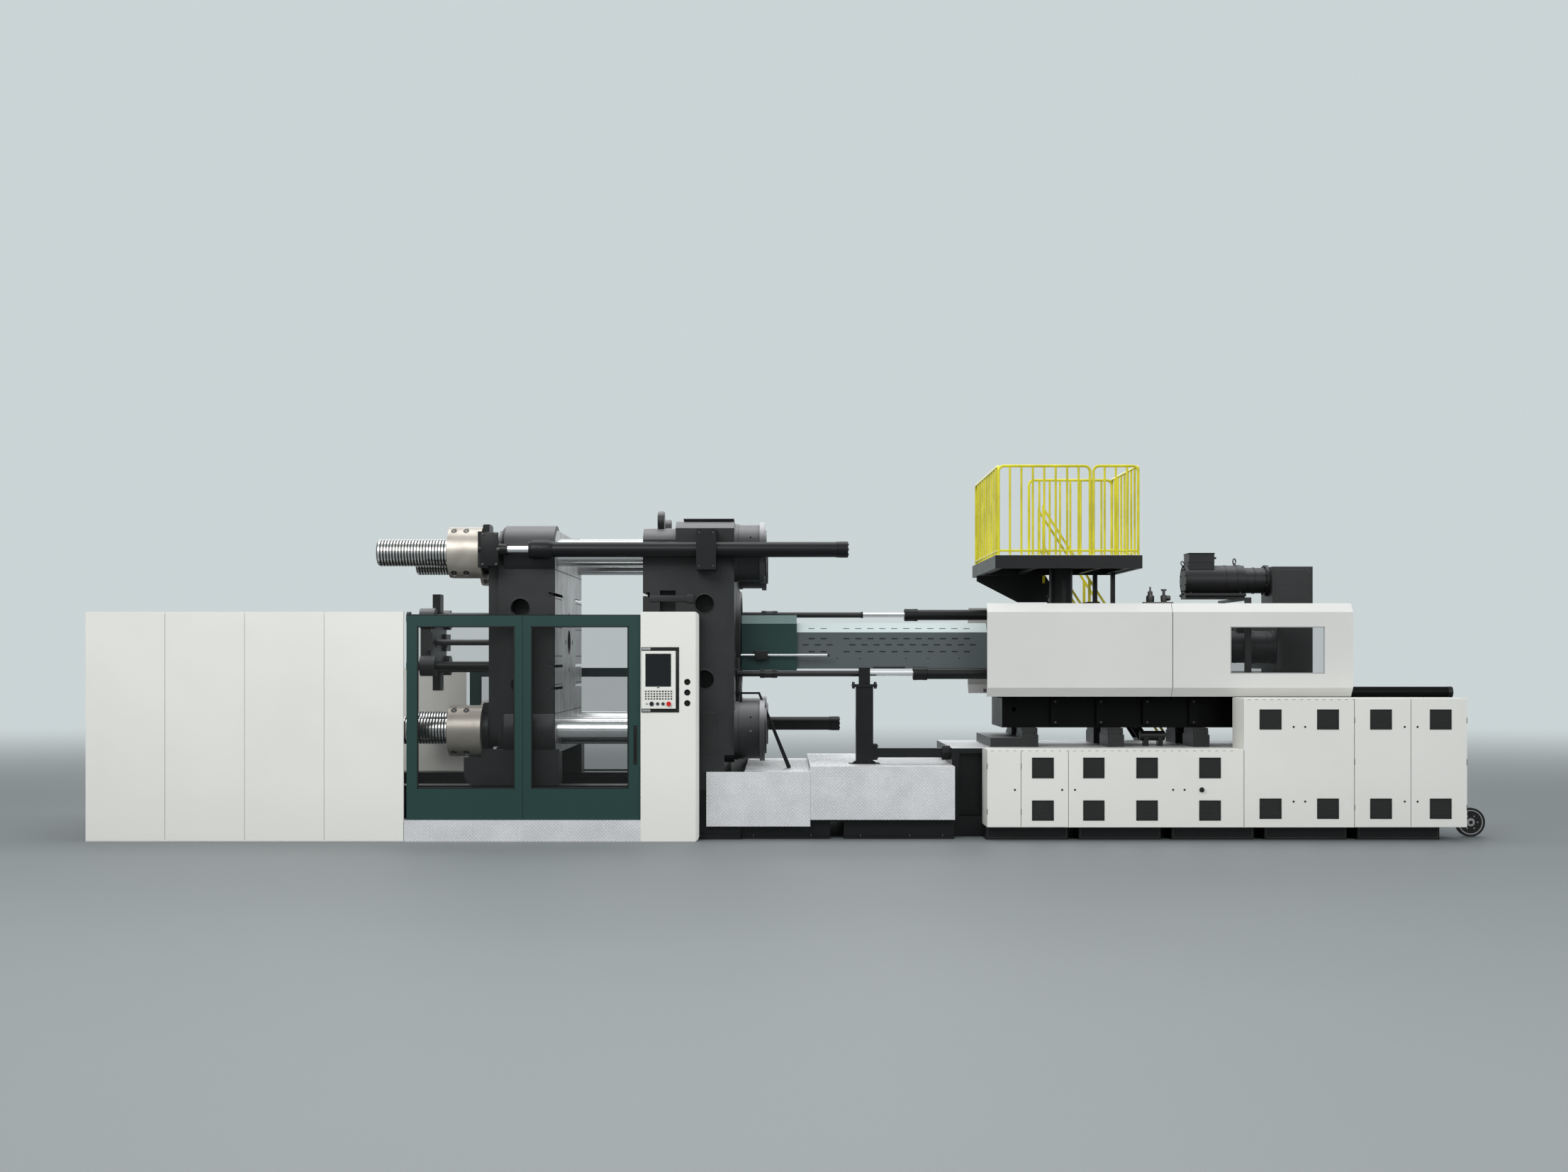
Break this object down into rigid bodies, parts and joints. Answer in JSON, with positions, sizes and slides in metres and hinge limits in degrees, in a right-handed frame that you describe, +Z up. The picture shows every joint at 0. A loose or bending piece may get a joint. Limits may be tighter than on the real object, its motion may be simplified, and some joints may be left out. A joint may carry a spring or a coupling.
{
  "type": "injection moulding machine",
  "caption": "Large two-platen injection moulding machine: clamp unit with grooved tie bars and sliding guards, injection unit on a base, hopper platform with railing.",
  "frame": {"origin": "centre of the footprint, on the floor", "axes": "+X from the clamp end towards the injection end, +Y away from the operator side, +Z up"},
  "size_m": [17.01, 3.58, 4.596],
  "materials": {
    "cast_black": "satin casting paint",
    "frame_black": "satin paint",
    "cover_white": "powder coat",
    "guard_green": "powder coat",
    "guard_grey": "powder coat",
    "steel_polished": "hard chromed and ground",
    "steel_brushed": "turned steel",
    "tread_plate": "checker plate",
    "rail_yellow": "gloss paint",
    "window_clear": "clear polycarbonate",
    "rubber_black": "solid tyre",
    "button_red": "moulded",
    "button_black": "moulded"
  },
  "bodies": {
    "machine": {"clamp_base": "frame_black", "fixed_platen": "cast_black", "clamp_cylinders": "cast_black", "cylinder_caps": "cast_black", "tie_bars": "steel_polished", "traverse_cylinders": "frame_black", "cylinder_brackets": "frame_black", "front_covers": "cover_white", "back_covers": "cover_white", "door_skirt": "tread_plate", "control_column": "cover_white", "control_panel": "cover_white", "mid_base": "frame_black", "tread_boxes": "tread_plate", "carriage_post": "frame_black", "platen_brace": "frame_black", "guard_rails": "steel_polished", "carriage_rods": "steel_polished", "injection_base": "frame_black", "low_cabinet": "cover_white", "high_cabinet": "cover_white", "pedestals": "cast_black", "service_cylinders": "frame_black"},
    "moving_platen": {"moving_platen": "cast_black", "nut_housings": "frame_black", "platen_shoes": "cast_black", "traverse_rods": "steel_polished", "rod_brackets": "frame_black", "ejector_guides": "frame_black"},
    "half_nuts_front": {"half_nuts_front": "steel_brushed"},
    "half_nuts_back": {"half_nuts_back": "steel_brushed"},
    "ejector": {"ejector_plate": "cast_black"},
    "operator_door": {"operator_door": "guard_green", "door_windows": "window_clear"},
    "back_door": {"back_door": "guard_green", "back_door_window": "window_clear"},
    "nozzle_guard": {"nozzle_guard": "guard_green"},
    "carriage": {"injection_beam": "frame_black", "barrel": "steel_brushed", "barrel_guard": "guard_grey", "fairing_front": "cover_white", "fairing_rear": "cover_white", "fairing_window": "window_clear", "carriage_cylinders": "frame_black", "platform_deck": "frame_black", "platform_railing": "rail_yellow", "platform_supports": "frame_black", "platform_stairs": "frame_black"},
    "injection_drive": {"gearbox": "cast_black", "drive_motors": "cast_black"},
    "screw": {"screw": "steel_polished"},
    "wheel": {"wheel": "rubber_black"},
    "emergency_stop": {"emergency_stop": "button_red"},
    "mode_knob": {"mode_knob": "button_black"},
    "start_button": {"start_button": "button_black"},
    "stop_button": {"stop_button": "button_black"},
    "cabinet_door_1": {"cabinet_door_1": "cover_white"},
    "cabinet_door_2": {"cabinet_door_2": "cover_white"},
    "cabinet_door_3": {"cabinet_door_3": "cover_white"},
    "cabinet_door_4": {"cabinet_door_4": "cover_white"}
  },
  "joints": [
    {"name": "platen_travel", "type": "slide", "parent": "machine", "child": "moving_platen", "axis": [-1, 0, 0], "range_m": [0, 2.59]},
    {"name": "nut_close_front", "type": "slide", "parent": "moving_platen", "child": "half_nuts_front", "axis": [0, 1, 0], "range_m": [0, 0.065]},
    {"name": "nut_close_back", "type": "slide", "parent": "moving_platen", "child": "half_nuts_back", "axis": [0, -1, 0], "range_m": [0, 0.065]},
    {"name": "ejector_stroke", "type": "slide", "parent": "moving_platen", "child": "ejector", "axis": [1, 0, 0], "range_m": [0, 0.38]},
    {"name": "operator_door_slide", "type": "slide", "parent": "machine", "child": "operator_door", "axis": [-1, 0, 0], "range_m": [0, 2.7]},
    {"name": "back_door_slide", "type": "slide", "parent": "machine", "child": "back_door", "axis": [-1, 0, 0], "range_m": [0, 2.6]},
    {"name": "nozzle_guard_slide", "type": "slide", "parent": "machine", "child": "nozzle_guard", "axis": [1, 0, 0], "range_m": [0, 0.35]},
    {"name": "carriage_travel", "type": "slide", "parent": "machine", "child": "carriage", "axis": [-1, 0, 0], "range_m": [0, 0.4]},
    {"name": "injection_stroke", "type": "slide", "parent": "carriage", "child": "injection_drive", "axis": [-1, 0, 0], "range_m": [0, 0.6]},
    {"name": "screw_turn", "type": "hinge", "parent": "injection_drive", "child": "screw", "pos_m": [3, 0, 2.4], "axis": [1, 0, 0], "continuous": true},
    {"name": "wheel_turn", "type": "hinge", "parent": "machine", "child": "wheel", "pos_m": [8.328, -1.115, 0.177], "axis": [0, 1, 0], "continuous": true},
    {"name": "emergency_stop_press", "type": "slide", "parent": "machine", "child": "emergency_stop", "axis": [0, 1, 0], "range_m": [0, 0.006], "stiffness_N_per_m": 1500},
    {"name": "mode_knob_turn", "type": "hinge", "parent": "machine", "child": "mode_knob", "pos_m": [-1.714, -1.764, 1.652], "axis": [0, 1, 0], "range_deg": [-45, 45]},
    {"name": "start_button_press", "type": "slide", "parent": "machine", "child": "start_button", "axis": [0, 1, 0], "range_m": [0, 0.004], "stiffness_N_per_m": 600},
    {"name": "stop_button_press", "type": "slide", "parent": "machine", "child": "stop_button", "axis": [0, 1, 0], "range_m": [0, 0.004], "stiffness_N_per_m": 600},
    {"name": "cabinet_door_1_swing", "type": "hinge", "parent": "machine", "child": "cabinet_door_1", "pos_m": [2.317, -1.6645, 0.6], "axis": [0, 0, -1], "range_deg": [0, 110]},
    {"name": "cabinet_door_2_swing", "type": "hinge", "parent": "machine", "child": "cabinet_door_2", "pos_m": [2.725, -1.6645, 0.6], "axis": [0, 0, -1], "range_deg": [0, 110]},
    {"name": "cabinet_door_3_swing", "type": "hinge", "parent": "machine", "child": "cabinet_door_3", "pos_m": [6.737, -1.6645, 0.9], "axis": [0, 0, -1], "range_deg": [0, 110]},
    {"name": "cabinet_door_4_swing", "type": "hinge", "parent": "machine", "child": "cabinet_door_4", "pos_m": [8.087, -1.6645, 0.9], "axis": [0, 0, 1], "range_deg": [0, 110]}
  ],
  "couplings": [
    {"joint": "nut_close_back", "follows": "nut_close_front", "ratio": 1}
  ]
}
